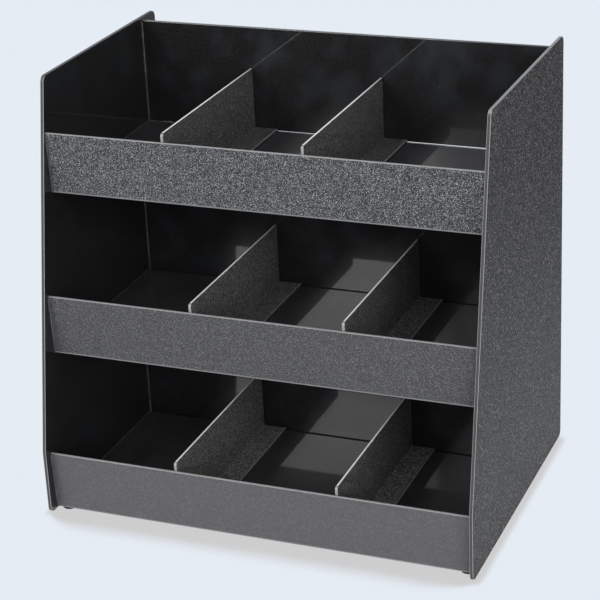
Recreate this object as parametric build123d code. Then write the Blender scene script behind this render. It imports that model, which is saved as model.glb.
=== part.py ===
from build123d import *
import math
import os

# Countertop organizer of plastic sheet: three stepped trays between two side panels, each tray
# split into three bays by two loose L-shaped dividers. Lengths are in millimetres.
# X runs to the viewer's right, Y to the rear and Z up. The origin is on the surface that the
# organizer stands on, below the middle of the side panels.

# Sheet stock and edges
panel_sheet = 3.2
tray_sheet = 3.2
back_sheet = 3.2
divider_sheet = 2.4
panel_edge_radius = 0.6
tray_lip_radius = 1.2
tray_rear_radius = 0.8
back_edge_radius = 0.8
divider_edge_radius = 0.8

# Side panels
overall_width = 406.0
panel_depth = 286.0
panel_height = 398.0
panel_lift = 2.8
top_setback = 62.0
upright_height = 62.0
rear_overhang = 25.9
panel_corner_radius = 6.0

# Trays: the floor and the front fascia are one sheet with a sharp bend, and the fascia leans forward
tray_names = ("bottom", "middle", "top")
tray_lift = 1.2
top_tray_drop = 105.6
tray_step = 23.2
tray_setback = 12.0
fascia_height = 56.0
fascia_lean = 3.3
tray_bend_radius = 1.0
tray_bend_edge_radius = 0.8

# Back plates
back_gap = 1.2
top_back_rise = 0.5
top_back_drop = 2.9

# Dividers: an upright wall, and a foot that lies on the tray's floor to the right of the wall
divider_height = 60.0
divider_foot_width = 25.0
divider_bend_radius = 1.2
divider_nose_radius = 3.0
divider_front_clearance = 1.0
divider_rear_clearance = 1.2
divider_floor_clearance = 0.3

# Where the dividers' walls stand on each tray, from the bottom one up, as shares of the width
# between the side panels
left_divider_place_shares = (0.309, 0.344, 0.278)
right_divider_place_shares = (0.692, 0.700, 0.601)

# Rubber feet under the bottom tray
foot_radius = 6.35
foot_side_gap = 1.2
foot_end_inset = 9.4
foot_edge_radius = 0.8

# Places that follow from the sizes above
inner_width = overall_width - 2 * panel_sheet
inner_left = -inner_width / 2
panel_front = -panel_depth / 2
panel_rear = panel_depth / 2
panel_bottom = panel_lift
panel_top = panel_bottom + panel_height
top_level = len(tray_names) - 1
tray_pitch = (panel_height - tray_lift - top_tray_drop) / top_level
top_back_rear = panel_rear - rear_overhang
floor_depth = top_back_rear - back_sheet - back_gap - top_level * tray_step - tray_setback - panel_front
foot_height = panel_lift + tray_lift
lean_angle = math.atan2(fascia_lean, fascia_height)
fascia_thickness_along_y = tray_sheet / math.cos(lean_angle)


def tray_underside(level):
    """Height of a tray's underside; level 0 is the bottom tray."""
    return foot_height + level * tray_pitch


def tray_front(level):
    """Y of the corner between a tray's underside and the outside of its fascia."""
    return panel_front + tray_setback + level * tray_step


def floor_rear(level):
    """Y of the rear edge of a tray's floor."""
    return tray_front(level) + floor_depth


def floor_top(level):
    """Height of the upper face of a tray's floor."""
    return tray_underside(level) + tray_sheet


def fascia_inside(level, height):
    """Y of the inside of a tray's fascia, at a height above the tray's underside."""
    return tray_front(level) + fascia_thickness_along_y - height * math.tan(lean_angle)


def outline_face(points, radii):
    """Closed face through points; radii gives the rounding of each corner, zero for a sharp one."""
    face = make_face(Polyline(*points, close=True))
    for point, radius in zip(points, radii):
        if radius > 0:
            corner = face.vertices().sort_by_distance(Vector(*point))[0]
            face = fillet(corner, radius)
    return face


def side_panel(low_x):
    """Flat side panel whose left face lies at low_x."""
    points = [
        (panel_front, panel_bottom),
        (panel_rear, panel_bottom),
        (panel_rear, panel_top),
        (panel_front + top_setback, panel_top),
        (panel_front, panel_bottom + upright_height),
    ]
    face = outline_face(points, [panel_corner_radius] * len(points))
    panel = extrude(Plane.YZ.offset(low_x) * face, panel_sheet)
    rims = ShapeList()
    for side in panel.faces().filter_by(Axis.X):
        rims += side.edges()
    return fillet(rims, panel_edge_radius)


def tray(level):
    """Floor and front fascia, bent from one sheet."""
    base_y = tray_front(level)
    base_z = tray_underside(level)
    bend_y = base_y + tray_sheet * (1 - math.sin(lean_angle)) / math.cos(lean_angle)
    lip_y = base_y - fascia_lean
    lip_z = base_z + fascia_height
    lip_step_y = tray_sheet * math.cos(lean_angle)
    lip_step_z = tray_sheet * math.sin(lean_angle)
    points = [
        (floor_rear(level), base_z),
        (base_y, base_z),
        (lip_y, lip_z),
        (lip_y + lip_step_y, lip_z + lip_step_z),
        (bend_y, base_z + tray_sheet),
        (floor_rear(level), base_z + tray_sheet),
    ]
    radii = [0, tray_bend_edge_radius, tray_lip_radius, tray_lip_radius, tray_bend_radius, tray_rear_radius]
    face = outline_face(points, radii)
    return extrude(Plane.YZ.offset(inner_left) * face, inner_width)


def back_plate(level):
    """Upright sheet behind a tray's floor. The lower ones reach the tray above, which they carry."""
    front_y = floor_rear(level) + back_gap
    if level == top_level:
        low_z = floor_top(level) + top_back_rise
        high_z = panel_top - top_back_drop
        top_radius = back_edge_radius
    else:
        low_z = tray_underside(level)
        high_z = low_z + tray_pitch
        top_radius = 0
    points = [
        (front_y, low_z),
        (front_y + back_sheet, low_z),
        (front_y + back_sheet, high_z),
        (front_y, high_z),
    ]
    face = outline_face(points, [0, 0, top_radius, top_radius])
    return extrude(Plane.YZ.offset(inner_left) * face, inner_width)


def divider(level, place_share):
    """L-shaped sheet: a wall between two bays, and a foot that lies to its right."""
    wall_left = inner_left + place_share * inner_width - divider_sheet / 2
    wall_right = wall_left + divider_sheet
    foot_right = wall_left + divider_foot_width
    low_z = floor_top(level) + divider_floor_clearance
    step_z = low_z + divider_sheet
    high_z = low_z + divider_height
    bend_outside = divider_bend_radius + divider_sheet
    section_points = [
        (wall_left, low_z),
        (foot_right, low_z),
        (foot_right, step_z),
        (wall_right, step_z),
        (wall_right, high_z),
        (wall_left, high_z),
    ]
    section_radii = [bend_outside, 0, 0, divider_bend_radius, divider_edge_radius, divider_edge_radius]
    section = outline_face(section_points, section_radii)

    # The front edge runs parallel to the fascia, and the wall's front corner is rounded.
    low_height = low_z - tray_underside(level)
    front_low = fascia_inside(level, low_height) + divider_front_clearance
    front_high = front_low - divider_height * math.tan(lean_angle)
    rear_y = floor_rear(level) + back_gap - divider_rear_clearance
    side_points = [
        (front_low, low_z),
        (rear_y, low_z),
        (rear_y, high_z),
        (front_high, high_z),
    ]
    side_face = outline_face(side_points, [0, 0, 0, divider_nose_radius])
    reach = rear_y - front_high
    sheet_run = extrude(Plane.XZ.offset(-rear_y) * section, reach)
    side_block = extrude(Plane.YZ.offset(wall_left) * side_face, divider_foot_width)
    return sheet_run & side_block


def foot(side, centre_y):
    """Round rubber foot, flat where it stands and rounded round its lower edge."""
    centre_x = side * (inner_width / 2 - foot_side_gap - foot_radius)
    disc = Pos(centre_x, centre_y, foot_height / 2) * Cylinder(foot_radius, foot_height)
    lower_edge = disc.edges().group_by(Axis.Z)[0]
    return fillet(lower_edge, foot_edge_radius)


def organizer():
    """Every piece of the organizer by name."""
    pieces = {
        "left_side_panel": side_panel(-overall_width / 2),
        "right_side_panel": side_panel(overall_width / 2 - panel_sheet),
    }
    for level, name in enumerate(tray_names):
        pieces[f"{name}_tray"] = tray(level)
        pieces[f"{name}_back_plate"] = back_plate(level)
        pieces[f"{name}_left_divider"] = divider(level, left_divider_place_shares[level])
        pieces[f"{name}_right_divider"] = divider(level, right_divider_place_shares[level])
    foot_rows = {"front": tray_front(0) + foot_end_inset, "rear": floor_rear(0) - foot_end_inset}
    for row, centre_y in foot_rows.items():
        pieces[f"{row}_left_foot"] = foot(-1, centre_y)
        pieces[f"{row}_right_foot"] = foot(1, centre_y)
    return pieces


os.makedirs("parts", exist_ok=True)
for piece_name, piece in organizer().items():
    export_step(piece, f"parts/{piece_name}.step")
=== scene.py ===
"""Studio scene of a countertop organizer of dark plastic sheet: three stepped trays between two
side panels, each tray split into bays by two loose L-shaped dividers. Lengths are in metres."""

import logging
import math
from collections.abc import Sequence
from dataclasses import dataclass, replace
from enum import Enum

import bpy
from mathutils import Matrix, Vector


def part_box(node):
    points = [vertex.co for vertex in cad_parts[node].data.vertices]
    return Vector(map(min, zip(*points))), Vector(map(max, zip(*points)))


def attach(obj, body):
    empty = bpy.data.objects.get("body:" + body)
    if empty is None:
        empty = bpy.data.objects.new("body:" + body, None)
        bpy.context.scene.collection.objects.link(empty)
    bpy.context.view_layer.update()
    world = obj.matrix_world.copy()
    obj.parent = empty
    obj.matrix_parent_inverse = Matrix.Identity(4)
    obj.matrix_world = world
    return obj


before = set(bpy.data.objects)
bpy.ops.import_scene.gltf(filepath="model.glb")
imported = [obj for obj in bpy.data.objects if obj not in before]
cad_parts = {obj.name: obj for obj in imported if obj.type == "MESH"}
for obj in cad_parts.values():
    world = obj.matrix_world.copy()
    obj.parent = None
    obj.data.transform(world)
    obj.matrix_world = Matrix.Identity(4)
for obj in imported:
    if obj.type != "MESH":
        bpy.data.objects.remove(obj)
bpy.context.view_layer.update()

log = logging.getLogger("organizer")

CASING = "casing"
MILLIMETRE = 0.001
SHEET = 3.2 * MILLIMETRE

# Both parts of a way that leans halfway between two axes
SLANT = math.sqrt(0.5)

Colour = tuple[float, float, float, float]
Way = tuple[float, float, float]
Tree = bpy.types.NodeTree
Node = bpy.types.Node
Socket = bpy.types.NodeSocket
Material = bpy.types.Material
Input = Socket | float | int | str | bool | Sequence[float] | Material

RIGHT: Way = (1.0, 0.0, 0.0)
REAR: Way = (0.0, 1.0, 0.0)
FRONT: Way = (0.0, -1.0, 0.0)
UP: Way = (0.0, 0.0, 1.0)
DOWN: Way = (0.0, 0.0, -1.0)

# How fast the marks on a cut rim change along each axis
MARKS_ALONG_X: Way = (0.12, 1.0, 1.0)
MARKS_ALONG_Y_AND_Z: Way = (1.0, 0.12, 0.12)


class SocketKind(Enum):
    """Kinds of sockets on a node group."""

    NUMBER = "NodeSocketFloat"
    VECTOR = "NodeSocketVector"
    WHOLE = "NodeSocketInt"
    GEOMETRY = "NodeSocketGeometry"
    MATERIAL = "NodeSocketMaterial"


class TreeKind(Enum):
    """Kinds of node groups."""

    SHADER = "ShaderNodeTree"
    GEOMETRY = "GeometryNodeTree"


Sockets = dict[str, SocketKind]


def numbers(*names: str) -> Sockets:
    """Names sockets that carry numbers."""
    return dict.fromkeys(names, SocketKind.NUMBER)


def vectors(*names: str) -> Sockets:
    """Names sockets that carry vectors."""
    return dict.fromkeys(names, SocketKind.VECTOR)


class Wiring:
    """Adds nodes to one node tree and joins them."""

    def __init__(self, tree: Tree) -> None:
        """Takes up the tree."""
        self.tree = tree

    def feed(self, socket: Socket, value: Input) -> None:
        """Joins an input to a socket, or sets its value.

        Args:
            socket: The input.
            value: The socket to join, or the value to set.
        """
        if isinstance(value, Socket):
            self.tree.links.new(value, socket)
        else:
            socket.default_value = value

    def add(self, kind: str, inputs: dict[str | int, Input] | None = None, **settings: object) -> Node:
        """Adds a node.

        Args:
            kind: The node's type name.
            inputs: Its inputs by name or index.
            settings: The node's own properties.

        Returns:
            The new node.
        """
        made = self.tree.nodes.new(kind)
        for name, value in settings.items():
            setattr(made, name, value)
        for key, value in (inputs or {}).items():
            self.feed(made.inputs[key], value)
        return made

    def calculate(self, operation: str, *values: Input, clamp: bool = False) -> Socket:
        """Adds a Math node for up to three values; clamp keeps its result between 0 and 1."""
        made = self.add("ShaderNodeMath", dict(enumerate(values)), operation=operation, use_clamp=clamp)
        return made.outputs[0]

    def times(self, first: Input, second: Input) -> Socket:
        """Multiplies two numbers."""
        return self.calculate("MULTIPLY", first, second)

    def larger(self, first: Input, second: Input) -> Socket:
        """Takes the larger of two numbers."""
        return self.calculate("MAXIMUM", first, second)

    def combine(self, operation: str, *values: Input, output: str = "Vector") -> Socket:
        """Adds a Vector Math node for up to three vectors."""
        return self.add("ShaderNodeVectorMath", dict(enumerate(values)), operation=operation).outputs[output]

    def ramp(self, value: Input, low: Input, high: Input) -> Socket:
        """Adds a smooth step from 0, where the value is low, to 1, where it is high."""
        inputs = {"Value": value, "From Min": low, "From Max": high}
        return self.add("ShaderNodeMapRange", inputs, interpolation_type="SMOOTHSTEP").outputs["Result"]

    # A Mix node's sockets go by index, because those of its data types have the same names.

    def blend(self, factor: Input, first: Input, second: Input) -> Socket:
        """Adds a mix of two colours, the first one at factor 0 and the second one at 1."""
        return self.add("ShaderNodeMix", {0: factor, 6: first, 7: second}, data_type="RGBA").outputs[2]

    def blend_numbers(self, factor: Input, first: Input, second: Input) -> Socket:
        """Adds a mix of two numbers, the first one at factor 0 and the second one at 1."""
        return self.add("ShaderNodeMix", {0: factor, 2: first, 3: second}, data_type="FLOAT").outputs[0]

    def noise(self, place: Input, scale: float, detail: float, output: str = "Fac") -> Socket:
        """Adds a noise pattern: scale is how fine it is, and detail how many finer layers it has."""
        inputs = {"Vector": place, "Scale": scale, "Detail": detail}
        return self.add("ShaderNodeTexNoise", inputs).outputs[output]

    def cells(self, place: Input, feature: str = "F1") -> Node:
        """Adds a pattern of cells, one unit in size."""
        return self.add("ShaderNodeTexVoronoi", {"Vector": place, "Scale": 1.0}, feature=feature)

    def draw(self, colour: Socket) -> Socket:
        """Takes the red part of a random colour as a random value."""
        return self.add("ShaderNodeSeparateColor", {0: colour}).outputs[0]


class GroupWiring(Wiring):
    """The nodes of a group with named sockets."""

    def __init__(
        self, name: str, inputs: Sockets, outputs: Sockets, kind: TreeKind = TreeKind.SHADER
    ) -> None:
        """Makes the group.

        Args:
            name: The group's name.
            inputs: Its inputs' names and kinds.
            outputs: Its outputs' names and kinds.
            kind: The group's kind.
        """
        super().__init__(bpy.data.node_groups.new(name, kind.value))
        for side, sockets in (("INPUT", inputs), ("OUTPUT", outputs)):
            for socket_name, socket_kind in sockets.items():
                self.tree.interface.new_socket(name=socket_name, in_out=side, socket_type=socket_kind.value)
        self.given = self.add("NodeGroupInput").outputs
        self._results = self.add("NodeGroupOutput").inputs

    def put_out(self, name: str, value: Socket) -> None:
        """Sends a result to one of the group's outputs."""
        self.feed(self._results[name], value)

    def scaled(self, size: str) -> Socket:
        """Divides the group's Vector by one of its sizes, so that one unit of a pattern is that long."""
        inputs = {0: self.given["Vector"], "Scale": self.calculate("DIVIDE", 1.0, self.given[size])}
        return self.add("ShaderNodeVectorMath", inputs, operation="SCALE").outputs["Vector"]


class SurfaceEffects:
    """The shader groups that the finishes share: grain, rolled surface, wear, cut marks and bands."""

    # In pebbles: how far each one drifts, and how high the fine grain on it is
    PEBBLE_DRIFT = 0.6
    PEBBLE_ROUGHNESS = 0.3

    # How much of its pebble's lightness a groove keeps
    GROOVE_SHADE = 0.4

    SCRATCH_STRETCH = (0.04, 1.0, 1.0)
    SCRATCH_TURNS = ((0.3, 0.5, 0.4), (-0.4, 0.2, -0.6))

    def __init__(self) -> None:
        """Builds every group once."""
        self.grain = self._build_grain()
        self.rolled = self._build_rolled()
        self.wear = self._build_wear()
        self.cut_marks = self._build_cut_marks()
        self.band = self._build_band()
        self.arris = self._build_arris()

    def _build_grain(self) -> Tree:
        """Haircell grain: rounded pebbles with creases between them, uneven in size.

        Returns:
            The group, which puts out Height and Fleck, a random value for each pebble.
        """
        inputs = vectors("Vector") | numbers("Pebble Size")
        group = GroupWiring("haircell_grain", inputs, numbers("Height", "Fleck"))
        place = group.scaled("Pebble Size")
        drift = group.noise(place, scale=0.7, detail=2.0, output="Color")
        bent = group.combine("MULTIPLY_ADD", drift, (self.PEBBLE_DRIFT,) * 3, place)
        pebble = group.cells(bent)
        crease = group.cells(bent, "DISTANCE_TO_EDGE")
        fine = group.noise(place, scale=3.1, detail=3.0)
        dome = group.calculate("SUBTRACT", 1.0, pebble.outputs["Distance"], clamp=True)
        groove = group.ramp(crease.outputs["Distance"], low=0.0, high=0.16)
        open_groove = group.calculate("MULTIPLY_ADD", groove, 1.0 - self.GROOVE_SHADE, self.GROOVE_SHADE)
        height = group.calculate("MULTIPLY_ADD", fine, self.PEBBLE_ROUGHNESS, group.times(dome, groove))
        group.put_out("Height", height)
        group.put_out("Fleck", group.times(group.draw(pebble.outputs["Color"]), open_groove))
        return group.tree

    @staticmethod
    def _build_rolled() -> Tree:
        """Rolled surface of a sheet's smooth side: long low waves and patches of haze.

        Returns:
            The group, which puts out Height, Haze and Bloom, a finer mottling.
        """
        inputs = vectors("Vector") | numbers("Wave Size")
        group = GroupWiring("rolled_surface", inputs, numbers("Height", "Haze", "Bloom"))
        place = group.scaled("Wave Size")
        group.put_out("Height", group.noise(place, scale=1.0, detail=1.0))
        group.put_out("Haze", group.ramp(group.noise(place, scale=0.45, detail=5.0), low=0.4, high=0.75))
        group.put_out("Bloom", group.ramp(group.noise(place, scale=8.0, detail=3.0), low=0.36, high=0.66))
        return group.tree

    def _build_wear(self) -> Tree:
        """Handling wear: fine rubbing scratches in two directions, and specks of dust.

        Returns:
            The group, which puts out Scratch and Dust masks.
        """
        inputs = vectors("Vector") | numbers("Scratch Size", "Dust Size")
        group = GroupWiring("handling_wear", inputs, numbers("Scratch", "Dust"))
        place = group.scaled("Scratch Size")
        masks = []
        for turn in self.SCRATCH_TURNS:
            turned_inputs = {"Vector": place, "Rotation": turn, "Scale": self.SCRATCH_STRETCH}
            turned = group.add("ShaderNodeMapping", turned_inputs).outputs[0]
            streaks = group.noise(turned, scale=1.0, detail=2.0)
            masks.append(group.ramp(streaks, low=0.66, high=0.74))
        grit = group.cells(group.scaled("Dust Size"))
        near = group.ramp(grit.outputs["Distance"], low=0.12, high=0.03)
        rare = group.ramp(group.draw(grit.outputs["Color"]), low=0.8, high=0.85)
        group.put_out("Scratch", group.larger(*masks))
        group.put_out("Dust", group.times(near, rare))
        return group.tree

    @staticmethod
    def _build_cut_marks() -> Tree:
        """Saw and scraper marks across a cut edge.

        Returns:
            The group, which puts out Height. Its Stretch is how fast the marks change along each axis.
        """
        inputs = vectors("Vector", "Stretch") | numbers("Mark Size")
        group = GroupWiring("cut_marks", inputs, numbers("Height"))
        stretched = group.combine("MULTIPLY", group.scaled("Mark Size"), group.given["Stretch"])
        group.put_out("Height", group.noise(stretched, scale=1.0, detail=3.0))
        return group.tree

    @staticmethod
    def _build_band() -> Tree:
        """Band where a vector reaches past a start along an axis; it picks faces and rims out.

        Returns:
            The group, which puts out Mask.
        """
        inputs = vectors("Vector", "Axis") | numbers("Start", "Fade")
        group = GroupWiring("band", inputs, numbers("Mask"))
        start = group.given["Start"]
        reach = group.combine("DOT_PRODUCT", group.given["Vector"], group.given["Axis"], output="Value")
        group.put_out("Mask", group.ramp(reach, start, group.calculate("ADD", start, group.given["Fade"])))
        return group.tree

    @staticmethod
    def _build_arris() -> Tree:
        """Arris: the rounding between a sheet's flat side and its cut rim.

        Returns:
            The group, which puts out Mask. Its Vector is the way that the surface faces.
        """
        group = GroupWiring("arris", vectors("Vector", "Sheet Axis"), numbers("Mask"))
        lean = group.combine("DOT_PRODUCT", group.given["Vector"], group.given["Sheet Axis"], output="Value")
        lean = group.calculate("ABSOLUTE", lean)
        off_rim = group.ramp(lean, low=0.12, high=0.4)
        on_side = group.ramp(lean, low=0.85, high=0.97)
        group.put_out("Mask", group.calculate("SUBTRACT", off_rim, on_side, clamp=True))
        return group.tree


class SurfaceWiring(Wiring):
    """The nodes of one material, round its Principled shader."""

    def __init__(self, name: str, effects: SurfaceEffects) -> None:
        """Makes the material.

        Args:
            name: The material's name.
            effects: The shared groups.
        """
        self.material = bpy.data.materials.new(name)
        self.material.use_nodes = True
        super().__init__(self.material.node_tree)
        self.effects = effects
        self.surface = self.tree.nodes["Principled BSDF"]
        self.coordinates = self.add("ShaderNodeTexCoord").outputs
        self.place = self.coordinates["Object"]

    def effect(self, group: Tree, vector: Socket | None = None, **values: Input) -> bpy.types.NodeOutputs:
        """Puts a shared group in the material.

        Args:
            group: The group.
            vector: What its Vector reads, the place on the piece if nothing is named.
            values: Its other inputs; pebble_size stands for Pebble Size.

        Returns:
            The group's outputs.
        """
        inputs = {name.replace("_", " ").title(): value for name, value in values.items()}
        inputs["Vector"] = self.place if vector is None else vector
        return self.add("ShaderNodeGroup", inputs, node_tree=group).outputs

    def settle(self, colour: Socket, roughness: Socket, height: Socket) -> None:
        """Joins what every finish has to the shader.

        Args:
            colour: The base colour.
            roughness: The roughness.
            height: The surface's height in metres.
        """
        bump = self.add("ShaderNodeBump", {"Height": height, "Distance": 1.0, "Strength": 1.0})
        for name, value in (("Base Color", colour), ("Roughness", roughness), ("Normal", bump.outputs[0])):
            self.feed(self.surface.inputs[name], value)


class BandSource(Enum):
    """What a band reads: the place on the piece, or the way its surface faces."""

    PLACE = "Object"
    FACING = "Normal"


@dataclass(frozen=True)
class Band:
    """A part of a piece's surface, found along an axis.

    Args:
        source: Whether the axis is read against places or against facings.
        axis: The axis.
        start: Where the band starts along the axis.
        fade: The length over which it fades in.
    """

    source: BandSource
    axis: Way
    start: float
    fade: float

    def mask(self, wires: SurfaceWiring) -> Socket:
        """Adds the band's mask to a material."""
        span = {"axis": self.axis, "start": self.start, "fade": self.fade}
        return wires.effect(wires.effects.band, wires.coordinates[self.source.value], **span)["Mask"]


def edge_facing(way: Way) -> Band:
    """Finds the faces that look one way."""
    return Band(BandSource.FACING, way, start=0.45, fade=0.3)


def edge_beyond(axis: Way, start: float) -> Band:
    """Finds the places that lie beyond a plane."""
    return Band(BandSource.PLACE, axis, start, fade=0.1 * MILLIMETRE)


@dataclass(frozen=True)
class Rim:
    """A rim of a sheet: a cut face, or an edge whose pale colour is a painted highlight.

    Args:
        band: Where it is.
        colour: Its colour.
        within: A second band that it keeps to.
    """

    band: Band
    colour: Colour
    within: Band | None = None

    def mask(self, wires: SurfaceWiring) -> Socket:
        """Adds the rim's mask to a material."""
        inside = self.band.mask(wires)
        return wires.times(inside, self.within.mask(wires)) if self.within else inside


def toned(colour: Colour, tone: float) -> Colour:
    """Makes a colour lighter or darker."""
    return (colour[0] * tone, colour[1] * tone, colour[2] * tone, colour[3])


@dataclass(frozen=True)
class SheetFinish:
    """Black plastic sheet: haircell grain on one side, a glossy rolled surface on the other, and cut rims.

    Args:
        effects: The shared groups.
        grained_colour: Colour of the grained side's grooves.
        fleck_colour: Colour of its lightest pebbles; partly the grain's own speckle, partly painted glints
            that the pebbles' facets catch.
        even_colour: Colour of the grained side as a whole.
        grain_contrast: How strongly grooves and pebbles differ in colour, 1 for fully.
        smooth_colour: Colour of the smooth side.
        bloom: How many times lighter the smooth side is where it has bloomed.
        haze_colour: Colour of the smooth side where it is hazy.
        fleck_rarity: How rare light pebbles are.
        cut_colour: Colour of plain saw cuts.
        edge_highlight_colour: Pale colour of the right panel's top edge and of the bend below a fascia, a
            painted highlight.
        nose_highlight_colour: Pale colour of the dividers' front edges and the fascias' lips, a painted
            highlight.
        foot_highlight_colour: Pale colour of the top arrises of the dividers' feet, a painted highlight.
        pale_highlight_colour: Pale colour of the dividers' top edges and the floors' rear edges, a painted
            highlight.
        arris_highlight_colour: Colour of the front-facing arrises between a flat side and a cut rim, a
            painted highlight.
        dust_colour: Colour of dust.
        dust_cover: How much of the sheet's colour a speck of dust hides.
        grained_roughness: Roughness of the grained side.
        smooth_roughness: Roughness below the smooth side's skin where it is clean.
        haze_roughness: What haze adds to it.
        scratch_roughness: What a scratch adds to it.
        cut_roughness: Roughness of cut rims.
        arris_roughness: Roughness of arrises.
        refraction: The plastic's index of refraction.
        body_gloss: Specular level below the smooth side's skin.
        skin_weight: Strength of the smooth side's glossy skin.
        skin_roughness: Roughness of that skin.
        side_fade: How soon the grained side starts as the surface turns.
        pebble_size: Length of one pebble of the grain.
        grain_depth: Depth of the grain.
        wave_size: Length of the smooth side's waves.
        wave_depth: Depth of those waves.
        mark_size: Length of the marks on cut rims.
        mark_depth: Depth of those marks.
        scratch_size: Width of a scratch.
        dust_size: Distance between specks of dust.
    """

    effects: SurfaceEffects
    grained_colour: Colour = (0.008, 0.008, 0.009, 1.0)
    fleck_colour: Colour = (0.300, 0.302, 0.312, 1.0)
    even_colour: Colour = (0.064, 0.065, 0.068, 1.0)
    grain_contrast: float = 0.6
    smooth_colour: Colour = (0.016, 0.016, 0.017, 1.0)
    bloom: float = 2.4
    haze_colour: Colour = (0.0125, 0.0135, 0.0155, 1.0)
    fleck_rarity: float = 2.5
    cut_colour: Colour = (0.045, 0.045, 0.047, 1.0)
    edge_highlight_colour: Colour = (0.150, 0.150, 0.153, 1.0)
    nose_highlight_colour: Colour = (0.220, 0.220, 0.223, 1.0)
    foot_highlight_colour: Colour = (0.240, 0.240, 0.243, 1.0)
    pale_highlight_colour: Colour = (0.680, 0.680, 0.685, 1.0)
    arris_highlight_colour: Colour = (0.160, 0.160, 0.163, 1.0)
    dust_colour: Colour = (0.30, 0.29, 0.27, 1.0)
    dust_cover: float = 0.12
    grained_roughness: float = 0.45
    smooth_roughness: float = 0.32
    haze_roughness: float = 0.10
    scratch_roughness: float = 0.04
    cut_roughness: float = 0.35
    arris_roughness: float = 0.25
    refraction: float = 1.52
    body_gloss: float = 0.2
    skin_weight: float = 1.0
    skin_roughness: float = 0.035
    side_fade: float = 0.3
    pebble_size: float = 0.65 * MILLIMETRE
    grain_depth: float = 0.14 * MILLIMETRE
    wave_size: float = 14.0 * MILLIMETRE
    wave_depth: float = 0.02 * MILLIMETRE
    mark_size: float = 0.6 * MILLIMETRE
    mark_depth: float = 0.03 * MILLIMETRE
    scratch_size: float = 1.1 * MILLIMETRE
    dust_size: float = 6.0 * MILLIMETRE

    def in_tone(self, tone: float, grain_contrast: float) -> "SheetFinish":
        """Makes a like finish whose grained side is lighter or darker, as painted light or shade, and differs
        in contrast.
        """
        even, fleck = (toned(colour, tone) for colour in (self.even_colour, self.fleck_colour))
        return replace(self, grain_contrast=grain_contrast, even_colour=even, fleck_colour=fleck)

    def material(
        self,
        name: str,
        grained_side: Way,
        rims: Sequence[Rim],
        mark_stretch: Way,
        arris_axis: Way | None = None,
    ) -> Material:
        """Makes the material of one piece of sheet.

        Args:
            name: The material's name.
            grained_side: The way that the grained side faces.
            rims: Its cut rims, and its edges with painted highlights.
            mark_stretch: How fast the cut marks change along each axis.
            arris_axis: The way that the sheet's flat sides face, where the rims' front-facing arrises get a
                painted highlight.

        Returns:
            The material.
        """
        wires = SurfaceWiring(name, self.effects)
        grained = Band(BandSource.FACING, grained_side, start=0.0, fade=self.side_fade).mask(wires)
        grain = wires.effect(self.effects.grain, pebble_size=self.pebble_size)
        rolled = wires.effect(self.effects.rolled, wave_size=self.wave_size)
        wear = wires.effect(self.effects.wear, scratch_size=self.scratch_size, dust_size=self.dust_size)
        marks = wires.effect(self.effects.cut_marks, stretch=mark_stretch, mark_size=self.mark_size)

        # Light pebbles: partly the grain's speckle, partly painted glints of its facets.
        lit_pebbles = wires.calculate("POWER", grain["Fleck"], self.fleck_rarity)
        flecked = wires.blend(lit_pebbles, self.grained_colour, self.fleck_colour)
        colour = wires.blend(self.grain_contrast, self.even_colour, flecked)
        smooth = wires.blend(rolled["Bloom"], self.smooth_colour, toned(self.smooth_colour, self.bloom))
        smooth = wires.blend(rolled["Haze"], smooth, self.haze_colour)
        colour = wires.blend(grained, smooth, colour)
        cut: Input = 0.0
        for rim in rims:
            mask = rim.mask(wires)
            colour = wires.blend(mask, colour, rim.colour)
            cut = wires.larger(cut, mask)
        colour = wires.blend(wires.times(wear["Dust"], self.dust_cover), colour, self.dust_colour)

        hazy = wires.calculate("MULTIPLY_ADD", rolled["Haze"], self.haze_roughness, self.smooth_roughness)
        rubbed = wires.calculate("MULTIPLY_ADD", wear["Scratch"], self.scratch_roughness, hazy)
        roughness = wires.blend_numbers(grained, rubbed, self.grained_roughness)
        roughness = wires.blend_numbers(cut, roughness, self.cut_roughness)
        if arris_axis:
            facing = wires.coordinates["Normal"]
            arris = wires.effect(self.effects.arris, facing, sheet_axis=arris_axis)["Mask"]
            # Only arrises that face the front get the pale arris_highlight_colour: a painted highlight.
            forward = Band(BandSource.FACING, FRONT, start=0.1, fade=0.3).mask(wires)
            arris = wires.times(arris, forward)
            colour = wires.blend(arris, colour, self.arris_highlight_colour)
            roughness = wires.blend_numbers(arris, roughness, self.arris_roughness)
            cut = wires.larger(cut, arris)
        covered = wires.calculate("SUBTRACT", 1.0, wires.larger(cut, grained))
        skin = wires.times(covered, self.skin_weight)

        grain_height = wires.times(grain["Height"], self.grain_depth)
        wave_height = wires.times(rolled["Height"], self.wave_depth)
        height = wires.blend_numbers(grained, wave_height, grain_height)
        height = wires.blend_numbers(cut, height, wires.times(marks["Height"], self.mark_depth))

        wires.settle(colour, roughness, height)
        wires.feed(wires.surface.inputs["Coat Weight"], skin)
        wires.surface.inputs["IOR"].default_value = self.refraction
        wires.surface.inputs["Specular IOR Level"].default_value = self.body_gloss
        wires.surface.inputs["Coat Roughness"].default_value = self.skin_roughness
        return wires.material


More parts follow.
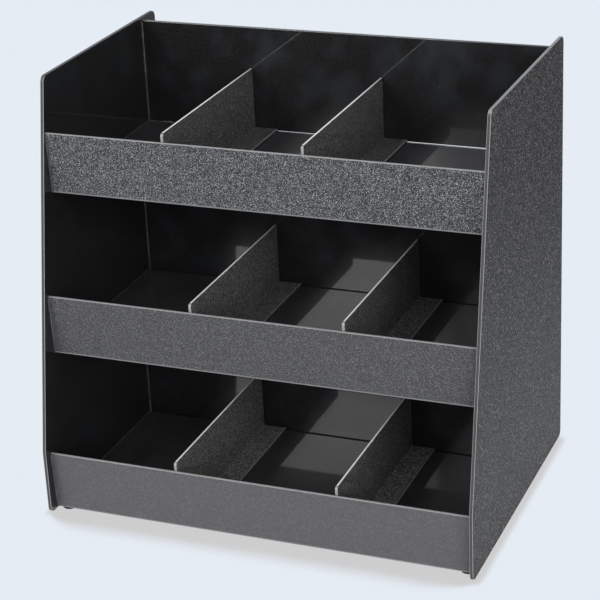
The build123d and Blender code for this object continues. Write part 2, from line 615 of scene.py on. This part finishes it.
@dataclass(frozen=True)
class CementFinish:
    """Clear solvent cement that has dried glossy over black sheet.

    Args:
        effects: The shared groups.
        colour: Colour of the bead.
        pale_colour: Colour where it is hazy.
        roughness: Roughness where it is clear.
        haze_roughness: What haze adds to it.
        ripple_size: Length of the ripples in the bead.
        ripple_depth: Depth of those ripples.
    """

    effects: SurfaceEffects
    colour: Colour = (0.040, 0.041, 0.042, 1.0)
    pale_colour: Colour = (0.075, 0.075, 0.074, 1.0)
    roughness: float = 0.16
    haze_roughness: float = 0.1
    ripple_size: float = 4.0 * MILLIMETRE
    ripple_depth: float = 0.1 * MILLIMETRE

    def material(self) -> Material:
        """Makes the beads' material.

        Returns:
            The material.
        """
        wires = SurfaceWiring("dried_cement", self.effects)
        rolled = wires.effect(self.effects.rolled, wave_size=self.ripple_size)
        colour = wires.blend(rolled["Haze"], self.colour, self.pale_colour)
        roughness = wires.calculate("MULTIPLY_ADD", rolled["Haze"], self.haze_roughness, self.roughness)
        wires.settle(colour, roughness, wires.times(rolled["Height"], self.ripple_depth))
        return wires.material


@dataclass(frozen=True)
class RubberFinish:
    """Dark grey rubber with a fine matte skin, scuffed where it meets the worktop.

    Args:
        effects: The shared groups.
        colour: Colour of the rubber.
        scuffed_colour: Colour where it is scuffed.
        side_scuffs: How strong the scuffs are all over.
        sole_scuffs: What the sole adds to that.
        roughness: Roughness of the rubber.
        fleck_roughness: How much rougher the roughest grain of its skin is.
        skin_size: Length of its skin's grain.
        skin_depth: Depth of its skin's grain.
        scratch_size: Width of a scratch.
        dust_size: Distance between specks of dust.
    """

    effects: SurfaceEffects
    colour: Colour = (0.014, 0.014, 0.015, 1.0)
    scuffed_colour: Colour = (0.05, 0.05, 0.05, 1.0)
    side_scuffs: float = 0.2
    sole_scuffs: float = 0.7
    roughness: float = 0.72
    fleck_roughness: float = 0.1
    skin_size: float = 0.5 * MILLIMETRE
    skin_depth: float = 0.03 * MILLIMETRE
    scratch_size: float = 0.9 * MILLIMETRE
    dust_size: float = 2.0 * MILLIMETRE

    def material(self) -> Material:
        """Makes the rubber's material.

        Returns:
            The material.
        """
        wires = SurfaceWiring("foot_rubber", self.effects)
        grain = wires.effect(self.effects.grain, pebble_size=self.skin_size)
        wear = wires.effect(self.effects.wear, scratch_size=self.scratch_size, dust_size=self.dust_size)
        sole = edge_facing(DOWN).mask(wires)
        where = wires.calculate("MULTIPLY_ADD", sole, self.sole_scuffs, self.side_scuffs)
        worn = wires.times(wires.larger(wear["Scratch"], wear["Dust"]), where)
        colour = wires.blend(worn, self.colour, self.scuffed_colour)
        roughness = wires.calculate("MULTIPLY_ADD", grain["Fleck"], self.fleck_roughness, self.roughness)
        wires.settle(colour, roughness, wires.times(grain["Height"], self.skin_depth))
        return wires.material


def dress_node(node_name: str, material: Material) -> None:
    """Gives a carried-over piece its material.

    Args:
        node_name: The piece's name.
        material: The material.
    """
    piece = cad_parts[node_name]
    for material_slot in piece.material_slots:
        material_slot.material = material
    log.info("dressed %s with %s", node_name, material.name)


@dataclass
class SidePanel:
    """A side panel, grained outside and smooth inside.

    Args:
        node: The panel's name.
        outward: -1 for the left panel, 1 for the right one.
        painted_top_highlight: Whether its top edge gets the pale edge_highlight_colour, a painted highlight.
    """

    node: str
    outward: float
    painted_top_highlight: bool

    def dress(self, finish: SheetFinish) -> None:
        """Gives the panel its material.

        Args:
            finish: The sheet's finish.
        """
        # A panel with painted_top_highlight set gets the pale edge_highlight_colour on its top: a painted
        # highlight.
        top_colour = finish.edge_highlight_colour if self.painted_top_highlight else finish.cut_colour
        rims = [Rim(edge_facing(way), finish.cut_colour) for way in (REAR, FRONT, DOWN)]
        rims.append(Rim(edge_facing(UP), top_colour))
        outside = (self.outward, 0.0, 0.0)
        material = finish.material(f"{self.node}_sheet", outside, rims, MARKS_ALONG_X, arris_axis=RIGHT)
        dress_node(self.node, material)


@dataclass
class Divider:
    """A loose L-shaped divider, grained on the side of its foot.

    Args:
        node: The divider's name, which is its body's name too.
        sheet: Thickness of its sheet.
        top_band: How much of its top edge has a painted highlight.
        top_fade: Length over which that painted highlight fades towards the rear.
        fade_past_rear: How much of that length would lie behind the divider.
        foot_band: How much of its foot's edge is picked out: its cut side, and a painted highlight on its top
            arris.
        grained_side: The way that its grained side faces, wall and foot together.
    """

    node: str
    sheet: float = 2.4 * MILLIMETRE
    top_band: float = 0.16 * MILLIMETRE
    top_fade: float = 0.17
    fade_past_rear: float = 0.08
    foot_band: float = 0.7 * MILLIMETRE
    grained_side: Way = (1.0, 0.0, 1.0)

    def dress(self, finish: SheetFinish) -> None:
        """Gives the divider its material.

        Args:
            finish: The sheet's finish.
        """
        low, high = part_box(self.node)
        foot_arris = SLANT * (high.x + low.z + self.sheet)
        foot_side = edge_beyond(RIGHT, high.x - self.foot_band)
        foot_top = edge_beyond((SLANT, 0.0, SLANT), foot_arris - SLANT * self.foot_band)
        top = edge_beyond(UP, high.z - self.top_band)
        frontward = Band(BandSource.PLACE, FRONT, -high.y - self.fade_past_rear, self.top_fade)
        # The foot's top arris, the front edge and the top edge get pale colours: painted highlights, the top
        # one fading towards the rear.
        rims = (
            Rim(edge_facing(RIGHT), finish.cut_colour, within=foot_side),
            Rim(foot_top, finish.foot_highlight_colour, within=foot_side),
            Rim(edge_facing(FRONT), finish.nose_highlight_colour),
            Rim(top, finish.pale_highlight_colour, within=frontward),
        )
        material = finish.material(f"{self.node}_sheet", self.grained_side, rims, MARKS_ALONG_X)
        dress_node(self.node, material)


@dataclass
class SeamBeads:
    """Beads of cement in the corners where a tray and its back plate meet a side panel.

    Args:
        material: The cement's material.
        bead_radius: Radius of a bead in an upright corner.
        floor_radius: Radius of a bead along a floor.
        tuck: How far a bead's middle lies out of the corner.
        step: Length of one step along a bead.
        wander: How much the bead's thickness varies, as a share.
        wander_size: Length over which it varies.
        sides: Sides of a bead's section.
    """

    material: Material
    bead_radius: float = 0.8 * MILLIMETRE
    floor_radius: float = 0.35 * MILLIMETRE
    tuck: float = 0.2 * MILLIMETRE
    step: float = 2.0 * MILLIMETRE
    wander: float = 0.35
    wander_size: float = 18.0 * MILLIMETRE
    sides: int = 12

    def __post_init__(self) -> None:
        """Builds the Geometry Nodes tree that lays a bead."""
        self.tree = self._build_tree()

    @staticmethod
    def _build_tree() -> Tree:
        """Builds the tree: line, even steps, a slight wander, a round section, one solid mesh.

        Returns:
            The tree.
        """
        inputs = {"Line": SocketKind.GEOMETRY}
        inputs |= numbers("Bead Radius", "Step", "Wander", "Wander Size", "Taper")
        inputs |= {"Sides": SocketKind.WHOLE, "Seed": SocketKind.NUMBER, "Material": SocketKind.MATERIAL}
        group = GroupWiring("cement_bead", inputs, {"Geometry": SocketKind.GEOMETRY}, TreeKind.GEOMETRY)
        given = group.given
        line = group.add("GeometryNodeMeshToCurve", {"Mesh": given["Line"]}).outputs["Curve"]
        step_inputs = {"Curve": line, "Length": given["Step"]}
        stepped = group.add("GeometryNodeResampleCurve", step_inputs, mode="LENGTH")
        scale = group.calculate("DIVIDE", 1.0, given["Wander Size"])
        noise_inputs = {"W": given["Seed"], "Scale": scale, "Detail": 1.0}
        noise = group.add("ShaderNodeTexNoise", noise_inputs, noise_dimensions="4D")
        uneven = group.calculate("MULTIPLY_ADD", noise.outputs["Fac"], given["Wander"], 1.0)
        along = group.add("GeometryNodeSplineParameter").outputs["Factor"]
        left_over = group.calculate("SUBTRACT", 1.0, group.times(along, given["Taper"]))
        section_inputs = {"Resolution": given["Sides"], "Radius": given["Bead Radius"]}
        section = group.add("GeometryNodeCurvePrimitiveCircle", section_inputs)
        bead_inputs = {
            "Curve": stepped.outputs["Curve"],
            "Profile Curve": section.outputs["Curve"],
            "Scale": group.times(uneven, left_over),
            "Fill Caps": True,
        }
        bead = group.add("GeometryNodeCurveToMesh", bead_inputs).outputs["Mesh"]
        smooth = group.add("GeometryNodeSetShadeSmooth", {"Geometry": bead}).outputs["Geometry"]
        solid = group.add("GeometryNodeRealizeInstances", {"Geometry": smooth}).outputs["Geometry"]
        dressed = group.add("GeometryNodeSetMaterial", {"Geometry": solid, "Material": given["Material"]})
        group.put_out("Geometry", dressed.outputs["Geometry"])
        return group.tree

    def lay(
        self, name: str, runs: Sequence[Sequence[Vector]], radius: float, seed: float, taper: float = 0.0
    ) -> None:
        """Lays beads along lines and makes them one plain mesh, a piece that the casing carries.

        Args:
            name: The piece's name.
            runs: The lines, each a list of points.
            radius: The beads' radius.
            seed: The seed of the beads' uneven thickness.
            taper: The share of its thickness that a bead loses on its way.
        """
        points = [tuple(point) for run in runs for point in run]
        edges = []
        first = 0
        for run in runs:
            edges += [(first + i, first + i + 1) for i in range(len(run) - 1)]
            first += len(run)
        lines = bpy.data.meshes.new(f"{name}_lines")
        lines.from_pydata(points, edges, [])
        carrier = bpy.data.objects.new(f"{name}_carrier", lines)
        bpy.context.scene.collection.objects.link(carrier)
        modifier = carrier.modifiers.new("beads", "NODES")
        modifier.node_group = self.tree
        values = {
            "Bead Radius": radius,
            "Step": self.step,
            "Wander": self.wander,
            "Wander Size": self.wander_size,
            "Taper": taper,
            "Sides": self.sides,
            "Seed": seed,
            "Material": self.material,
        }
        for item in self.tree.interface.items_tree:
            if item.in_out == "INPUT" and item.name in values:
                modifier[item.identifier] = values[item.name]
        graph = bpy.context.evaluated_depsgraph_get()
        mesh = bpy.data.meshes.new_from_object(carrier.evaluated_get(graph))
        carrier.modifiers.remove(modifier)
        bpy.data.objects.remove(carrier)
        piece = bpy.data.objects.new(name, mesh)
        bpy.context.scene.collection.objects.link(piece)
        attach(piece, CASING)
        log.info("laid %s: %d faces", name, len(mesh.polygons))


@dataclass
class Tier:
    """A tray with its back plate, dividers and seams.

    Args:
        name: bottom, middle or top.
        seed: The seed of its seams.
        grain_contrast: How strongly the grain of the tray's front shows; set per tier as painted light, for
            how strongly each tier's grain catches glints.
        tray_painted_tone: How light the tray's front is, 1 for as its finish says; set per tier as painted
            light and shade.
        divider_painted_tone: How light its dividers are; painted light and shade, lighter for the dividers
            that a tray above shades.
        grain_lean: The way that the tray's grained side faces, front and underside together.
        fascia_lean: How far the fascia's lip stands before its foot.
        fascia_slope: How far the fascia leans for each metre of its height.
        lip_band: How much of the fascia's lip has a painted highlight.
        rear_band: How much of the floor's rear edge has a painted highlight.
        bend_band: How much of the sharp bend below the fascia has a painted highlight.
        lip_inset: How far below the fascia's lip its seams end.
        plate_inset: How far below the back plate's top its seams end.
        slit_middle: Middle of the slit between the floor and the back plate.
        slit_radius: Radius of the cement in that slit at its left end.
        slit_taper: The share of it that is lost by the right end.
    """

    name: str
    seed: float
    grain_contrast: float
    tray_painted_tone: float
    divider_painted_tone: float
    grain_lean: Way = (0.0, -1.0, -1.0)
    fascia_lean: float = 3.25 * MILLIMETRE
    fascia_slope: float = 3.3 / 56.0
    lip_band: float = 0.6 * MILLIMETRE
    rear_band: float = 0.6 * MILLIMETRE
    bend_band: float = 1.0 * MILLIMETRE
    lip_inset: float = 1.5 * MILLIMETRE
    plate_inset: float = 1.0 * MILLIMETRE
    slit_middle: float = 0.7 * MILLIMETRE
    slit_radius: float = 0.64 * MILLIMETRE
    slit_taper: float = 0.85

    def dress(self, finish: SheetFinish, plate_finish: SheetFinish, divider_finish: SheetFinish) -> None:
        """Gives the tray, the back plate and the dividers their materials.

        Args:
            finish: The tray's finish.
            plate_finish: The back plate's finish.
            divider_finish: The dividers' finish.
        """
        tray = f"{self.name}_tray"
        low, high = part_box(tray)
        bend = -SLANT * (low.y + self.fascia_lean + low.z)
        # The fascia's lip, the floor's rear edge and the bend below the fascia get pale colours: painted
        # highlights.
        rims = (
            Rim(edge_beyond(UP, high.z - self.lip_band), finish.nose_highlight_colour),
            Rim(edge_beyond(REAR, high.y - self.rear_band), finish.pale_highlight_colour),
            Rim(edge_beyond((0.0, -SLANT, -SLANT), bend - self.bend_band), finish.edge_highlight_colour),
        )
        # Each tier's tray is a lighter or darker copy of one finish: painted light and shade.
        tray_finish = finish.in_tone(self.tray_painted_tone, self.grain_contrast)
        material = tray_finish.material(f"{tray}_sheet", self.grain_lean, rims, MARKS_ALONG_Y_AND_Z)
        dress_node(tray, material)

        plate = f"{self.name}_back_plate"
        material = plate_finish.material(f"{plate}_sheet", REAR, (), MARKS_ALONG_Y_AND_Z)
        dress_node(plate, material)

        # Each tier's dividers are a lighter or darker copy of one finish: painted light and shade.
        toned_finish = divider_finish.in_tone(self.divider_painted_tone, divider_finish.grain_contrast)
        for side in ("left", "right"):
            Divider(f"{self.name}_{side}_divider").dress(toned_finish)

    def seams(self, beads: SeamBeads) -> None:
        """Lays the seams of cement at both ends of the tray and its back plate.

        Args:
            beads: What lays them.
        """
        low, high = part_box(f"{self.name}_tray")
        plate_low, plate_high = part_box(f"{self.name}_back_plate")
        floor_z = low.z + SHEET + beads.tuck
        fascia_y = low.y + SHEET
        lip_z = high.z - self.lip_inset
        foot_y = fascia_y + (lip_z - floor_z) * self.fascia_slope + beads.tuck
        plate_y = plate_low.y - beads.tuck
        front_y = low.y + self.fascia_lean
        for side, x in (("left", low.x + beads.tuck), ("right", high.x - beads.tuck)):
            floor_run = [
                Vector((x, fascia_y + beads.tuck, lip_z)),
                Vector((x, foot_y, floor_z)),
                Vector((x, high.y, floor_z)),
            ]
            plate_run = [
                Vector((x, plate_y, max(floor_z, plate_low.z))),
                Vector((x, plate_y, plate_high.z - self.plate_inset)),
            ]
            front_run = [
                Vector((x, low.y - beads.tuck, lip_z)),
                Vector((x, front_y - beads.tuck, low.z)),
                Vector((x, front_y + SHEET, low.z - beads.tuck)),
            ]
            seed = self.seed + x
            beads.lay(f"{self.name}_{side}_seam", (plate_run, front_run), beads.bead_radius, seed)
            beads.lay(f"{self.name}_{side}_floor_seam", (floor_run,), beads.floor_radius, seed)

    def rear_seam(self, beads: SeamBeads) -> None:
        """Lays cement in the slit behind the floor; it runs out towards the right.

        Args:
            beads: What lays it.
        """
        low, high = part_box(f"{self.name}_tray")
        y = high.y + self.slit_middle
        z = low.z + SHEET - beads.tuck / 2
        run = [Vector((x, y, z)) for x in (low.x + beads.tuck, high.x - beads.tuck)]
        beads.lay(f"{self.name}_rear_seam", (run,), self.slit_radius, self.seed, self.slit_taper)


@dataclass
class Feet:
    """The rubber feet.

    Args:
        nodes: Their names.
    """

    nodes: tuple[str, ...] = ("front_left_foot", "front_right_foot", "rear_left_foot", "rear_right_foot")

    def dress(self, finish: RubberFinish) -> None:
        """Gives the feet their material.

        Args:
            finish: The rubber's finish.
        """
        material = finish.material()
        for node in self.nodes:
            dress_node(node, material)


@dataclass
class Organizer:
    """The whole organizer.

    Args:
        panels: The finish of the side panels, whose grain is coarser.
        trays: The finish of the trays, whose smooth side is lighter than the back plates': painted light on
            the floors.
        plates: The finish of the back plates, whose smooth side is darker: painted shade.
        dividers: The finish of the dividers, whose grained side is lighter than the trays': painted light on
            their shaded faces.
        cement: The finish of its seams.
        rubber: The finish of its feet.
    """

    panels: SheetFinish
    trays: SheetFinish
    plates: SheetFinish
    dividers: SheetFinish
    cement: CementFinish
    rubber: RubberFinish

    def build(self) -> None:
        """Dresses every piece and lays the seams."""
        SidePanel("left_side_panel", outward=-1.0, painted_top_highlight=False).dress(self.panels)
        SidePanel("right_side_panel", outward=1.0, painted_top_highlight=True).dress(self.panels)
        beads = SeamBeads(self.cement.material())
        # Tones and grain contrasts per tier are painted light and shade on one sheet that is lit differently
        # in each tier.
        bottom = Tier("bottom", seed=0.0, grain_contrast=0.2, tray_painted_tone=1.27, divider_painted_tone=1.6)
        middle = Tier("middle", seed=3.0, grain_contrast=0.5, tray_painted_tone=1.0, divider_painted_tone=1.2)
        top = Tier("top", seed=6.0, grain_contrast=1.0, tray_painted_tone=1.26, divider_painted_tone=0.85)
        for tier in (bottom, middle, top):
            tier.dress(self.trays, self.plates, self.dividers)
            tier.seams(beads)
        top.rear_seam(beads)
        Feet().dress(self.rubber)


@dataclass
class Softbox:
    """A rectangular soft light with upright sides, given by the angles at which the organizer sees it.

    Args:
        name: The light's name.
        radiance: How bright its face is, where white paper in plain light is about 1.
        left: Azimuth of its left side in degrees, positive to the viewer's right.
        right: Azimuth of its right side.
        low: Elevation of its lower side in degrees.
        high: Elevation of its upper side.
        distance: How far it stands from the organizer.
        aim: The point that it faces.
        in_reflections: Whether gloss shows it.
    """

    name: str
    radiance: float
    left: float
    right: float
    low: float
    high: float
    distance: float = 7.0
    aim: tuple[float, float, float] = (0.0, 0.0, 0.2)
    in_reflections: bool = True

    def build(self) -> None:
        """Adds the light to the scene."""
        turn = math.radians((self.left + self.right) / 2)
        half_width = math.tan(math.radians((self.right - self.left) / 2))
        low, high = (math.tan(math.radians(angle)) for angle in (self.low, self.high))
        lamp = bpy.data.lights.new(self.name, "AREA")
        lamp.shape = "RECTANGLE"
        lamp.size = 2 * self.distance * half_width
        lamp.size_y = self.distance * (high - low)
        lamp.energy = self.radiance * math.pi * lamp.size * lamp.size_y
        outward = Vector((math.sin(turn), -math.cos(turn), 0.0))
        placed = bpy.data.objects.new(self.name, lamp)
        placed.rotation_euler = outward.to_track_quat("Z", "Y").to_euler()
        placed.location = Vector(self.aim) + self.distance * (outward + Vector((0.0, 0.0, (low + high) / 2)))
        placed.visible_glossy = self.in_reflections
        bpy.context.scene.collection.objects.link(placed)
        log.info("placed %s: %.2f by %.2f m, %.0f W", self.name, lamp.size, lamp.size_y, lamp.energy)


@dataclass
class Studio:
    """The pale floor, the surroundings and the lights.

    Args:
        backdrop: Colour of the floor and the surroundings, as the camera sees them.
        shadow_colour: Colour of the soft shadow at the base.
        floor_colour: Colour of the floor as it lights the organizer.
        floor_size: Length of the floor's sides.
        plain_light: Colour of the surroundings as they light the organizer.
        surround_strength: How strongly the surroundings light the organizer.
        contact_reach: How far the shadow reaches all round the base.
        contact_range: Openness of the floor where that shadow is full, and where it ends.
        front_reach: How far the longer shadow reaches before the front.
        front_range: Openness of the floor where the longer shadow is full, and where it ends.
        front_lean: The way in which the longer shadow looks for the front.
        front_half: Half the width of the longer shadow.
        side_fade: Length over which it fades beside the organizer.
        shadow_samples: Samples of each shadow.
        sheen_near: Distance within which reflections of the floor are at their brightest.
        sheen_far: Distance beyond which they are at their dimmest.
        sheen_floor: How bright they are there.
    """

    backdrop: Colour = (0.7835, 0.8388, 0.9047, 1.0)
    shadow_colour: Colour = (0.610, 0.610, 0.617, 1.0)
    floor_colour: Colour = (0.80, 0.81, 0.83, 1.0)
    floor_size: float = 8.0
    plain_light: Colour = (1.0, 1.0, 1.0, 1.0)
    surround_strength: float = 0.5
    contact_reach: float = 0.011
    contact_range: tuple[float, float] = (0.70, 0.95)
    front_reach: float = 0.085
    front_range: tuple[float, float] = (0.618, 0.705)
    front_lean: Way = (0.15, 0.97, 0.20)
    front_half: float = 0.199
    side_fade: float = 0.011
    shadow_samples: int = 16
    sheen_near: float = 0.2
    sheen_far: float = 1.2
    sheen_floor: float = 0.25

    def build(self) -> None:
        """Builds the studio."""
        self._build_surroundings()
        self._build_floor()
        for light in (
            Softbox("key_softbox", 11.8, left=-47.0, right=-18.6, low=19.0, high=41.0),
            Softbox("key_fade_near", 7.0, left=-18.6, right=-17.9, low=18.0, high=30.0),
            Softbox("key_fade_middle", 2.4, left=-17.9, right=-17.3, low=18.0, high=26.0),
            Softbox("key_fade_far", 0.7, left=-17.3, right=-16.2, low=18.0, high=24.0),
            Softbox("front_scrim", 2.2, left=-13.0, right=61.0, low=8.0, high=46.0, in_reflections=False),
            Softbox("side_scrim", 3.8, left=25.0, right=61.0, low=5.0, high=35.0, in_reflections=False),
        ):
            light.build()

    @staticmethod
    def _seen_directly(wires: Wiring) -> Socket:
        """Adds the mask of rays from the camera, reflections and refractions.

        Args:
            wires: The nodes of the world or of a material.

        Returns:
            The mask's socket.
        """
        path = wires.add("ShaderNodeLightPath").outputs
        seen = wires.larger(path["Is Camera Ray"], path["Is Glossy Ray"])
        return wires.larger(seen, path["Is Transmission Ray"])

    def _build_surroundings(self) -> None:
        """Makes the world: the backdrop's colour where it is seen, a plain pale light elsewhere."""
        world = bpy.data.worlds.new("surroundings")
        bpy.context.scene.world = world
        world.use_nodes = True
        wires = Wiring(world.node_tree)
        background = wires.tree.nodes["Background"].inputs
        seen = self._seen_directly(wires)
        wires.feed(background["Color"], wires.blend(seen, self.plain_light, self.backdrop))
        wires.feed(background["Strength"], wires.blend_numbers(seen, self.surround_strength, 1.0))

    def _build_floor(self) -> None:
        """Makes the floor, which looks like the backdrop apart from the organizer's shadow."""
        half = self.floor_size / 2
        mesh = bpy.data.meshes.new("floor")
        corners = [(-half, -half, 0.0), (half, -half, 0.0), (half, half, 0.0), (-half, half, 0.0)]
        mesh.from_pydata(corners, [], [(0, 1, 2, 3)])
        floor = bpy.data.objects.new("floor", mesh)
        bpy.context.scene.collection.objects.link(floor)
        mesh.materials.append(self._floor_material())

    def _openness(self, wires: Wiring, inputs: dict[str, Input], limits: tuple[float, float]) -> Socket:
        """Adds a mask that is 0 where the organizer covers the floor and 1 where nothing is near."""
        cover = wires.add("ShaderNodeAmbientOcclusion", inputs, samples=self.shadow_samples)
        return wires.ramp(cover.outputs["AO"], *limits)

    def _floor_material(self) -> Material:
        """Makes the floor's material.

        Returns:
            The material.
        """
        made = bpy.data.materials.new("pale_floor")
        made.use_nodes = True
        wires = Wiring(made.node_tree)
        wires.tree.nodes.remove(wires.tree.nodes["Principled BSDF"])
        place = wires.add("ShaderNodeTexCoord").outputs["Object"]
        across = wires.calculate("ABSOLUTE", wires.add("ShaderNodeSeparateXYZ", {0: place}).outputs["X"])
        beside = wires.ramp(across, self.front_half, self.front_half + self.side_fade)
        front_inputs = {"Distance": self.front_reach, "Normal": self.front_lean}
        front = self._openness(wires, front_inputs, self.front_range)
        contact = self._openness(wires, {"Distance": self.contact_reach}, self.contact_range)
        open_air = wires.calculate("MINIMUM", contact, wires.larger(front, beside))
        colour = wires.blend(open_air, self.shadow_colour, self.backdrop)

        far = wires.ramp(wires.combine("LENGTH", place, output="Value"), self.sheen_near, self.sheen_far)
        sheen = wires.blend_numbers(far, 1.0, self.sheen_floor)
        path = wires.add("ShaderNodeLightPath").outputs
        strength = wires.blend_numbers(path["Is Camera Ray"], sheen, 1.0)
        glow = wires.add("ShaderNodeEmission", {"Color": colour, "Strength": strength}).outputs[0]
        matte = wires.add("ShaderNodeBsdfDiffuse", {"Color": self.floor_colour}).outputs[0]
        mixed = wires.add("ShaderNodeMixShader", {0: self._seen_directly(wires), 1: matte, 2: glow})
        wires.feed(wires.tree.nodes["Material Output"].inputs["Surface"], mixed.outputs[0])
        return made


@dataclass
class PhotoCamera:
    """The camera, at the photograph's viewing angle.

    Args:
        position: Where it stands.
        yaw: Degrees that it looks to the right of straight ahead.
        pitch: Degrees that it looks down.
        roll: Degrees that it is turned about its line of sight.
        focal_length: Focal length in pixels of the photograph.
        picture_width: Width of the photograph in pixels.
        sensor: Width of the sensor in millimetres.
    """

    position: tuple[float, float, float] = (0.6411, -1.5390, 0.8945)
    yaw: float = -22.716
    pitch: float = 23.201
    roll: float = 2.746
    focal_length: float = 1998.7
    picture_width: float = 600.0
    sensor: float = 36.0

    def build(self) -> None:
        """Adds the camera and makes it the scene's."""
        yaw, pitch, roll = (math.radians(angle) for angle in (self.yaw, self.pitch, self.roll))
        forward = Vector((math.sin(yaw) * math.cos(pitch), math.cos(yaw) * math.cos(pitch), -math.sin(pitch)))
        level = Vector((math.cos(yaw), -math.sin(yaw), 0.0))
        down = forward.cross(level)
        right = math.cos(roll) * level + math.sin(roll) * down
        up = math.sin(roll) * level - math.cos(roll) * down
        turn = Matrix((right, up, -forward)).transposed()
        lens = bpy.data.cameras.new("photo_camera")
        lens.sensor_width = self.sensor
        lens.lens = self.focal_length * self.sensor / self.picture_width
        placed = bpy.data.objects.new("photo_camera", lens)
        placed.matrix_world = Matrix.Translation(Vector(self.position)) @ turn.to_4x4()
        bpy.context.scene.collection.objects.link(placed)
        bpy.context.scene.camera = placed
        log.info("placed the camera, lens %.1f mm", lens.lens)


def main() -> None:
    """Builds the scene."""
    logging.basicConfig(level=logging.INFO, format="%(message)s")
    bpy.context.scene.view_settings.view_transform = "Standard"
    effects = SurfaceEffects()
    PhotoCamera().build()
    Organizer(
        panels=SheetFinish(
            effects,
            even_colour=(0.055, 0.052, 0.051, 1.0),
            grain_contrast=1.0,
            smooth_colour=(0.006, 0.006, 0.006, 1.0),
            fleck_colour=(0.278, 0.258, 0.251, 1.0),
            fleck_rarity=2.9,
            edge_highlight_colour=(0.190, 0.190, 0.193, 1.0),
            arris_highlight_colour=(0.250, 0.250, 0.253, 1.0),
            pebble_size=1.4 * MILLIMETRE,
            grain_depth=0.34 * MILLIMETRE,
        ),
        trays=SheetFinish(
            effects,
            even_colour=(0.064, 0.0628, 0.0675, 1.0),
            fleck_colour=(0.392, 0.414, 0.440, 1.0),
            fleck_rarity=3.5,
            # A lighter smooth side than the plates': painted light on the floors.
            smooth_colour=(0.015, 0.015, 0.016, 1.0),
            haze_colour=(0.034, 0.035, 0.037, 1.0),
            skin_weight=0.74,
            pebble_size=0.5 * MILLIMETRE,
        ),
        # A darker smooth side: painted shade on the back plates.
        plates=SheetFinish(effects, smooth_colour=(0.0045, 0.0045, 0.0047, 1.0)),
        # A lighter grained side than the trays': painted light on the dividers' shaded faces.
        dividers=SheetFinish(
            effects,
            even_colour=(0.078, 0.077, 0.075, 1.0),
            fleck_colour=(0.360, 0.355, 0.345, 1.0),
            grain_contrast=0.9,
            pebble_size=0.75 * MILLIMETRE,
        ),
        cement=CementFinish(effects),
        rubber=RubberFinish(effects),
    ).build()
    Studio().build()


if __name__ == "__main__":
    main()
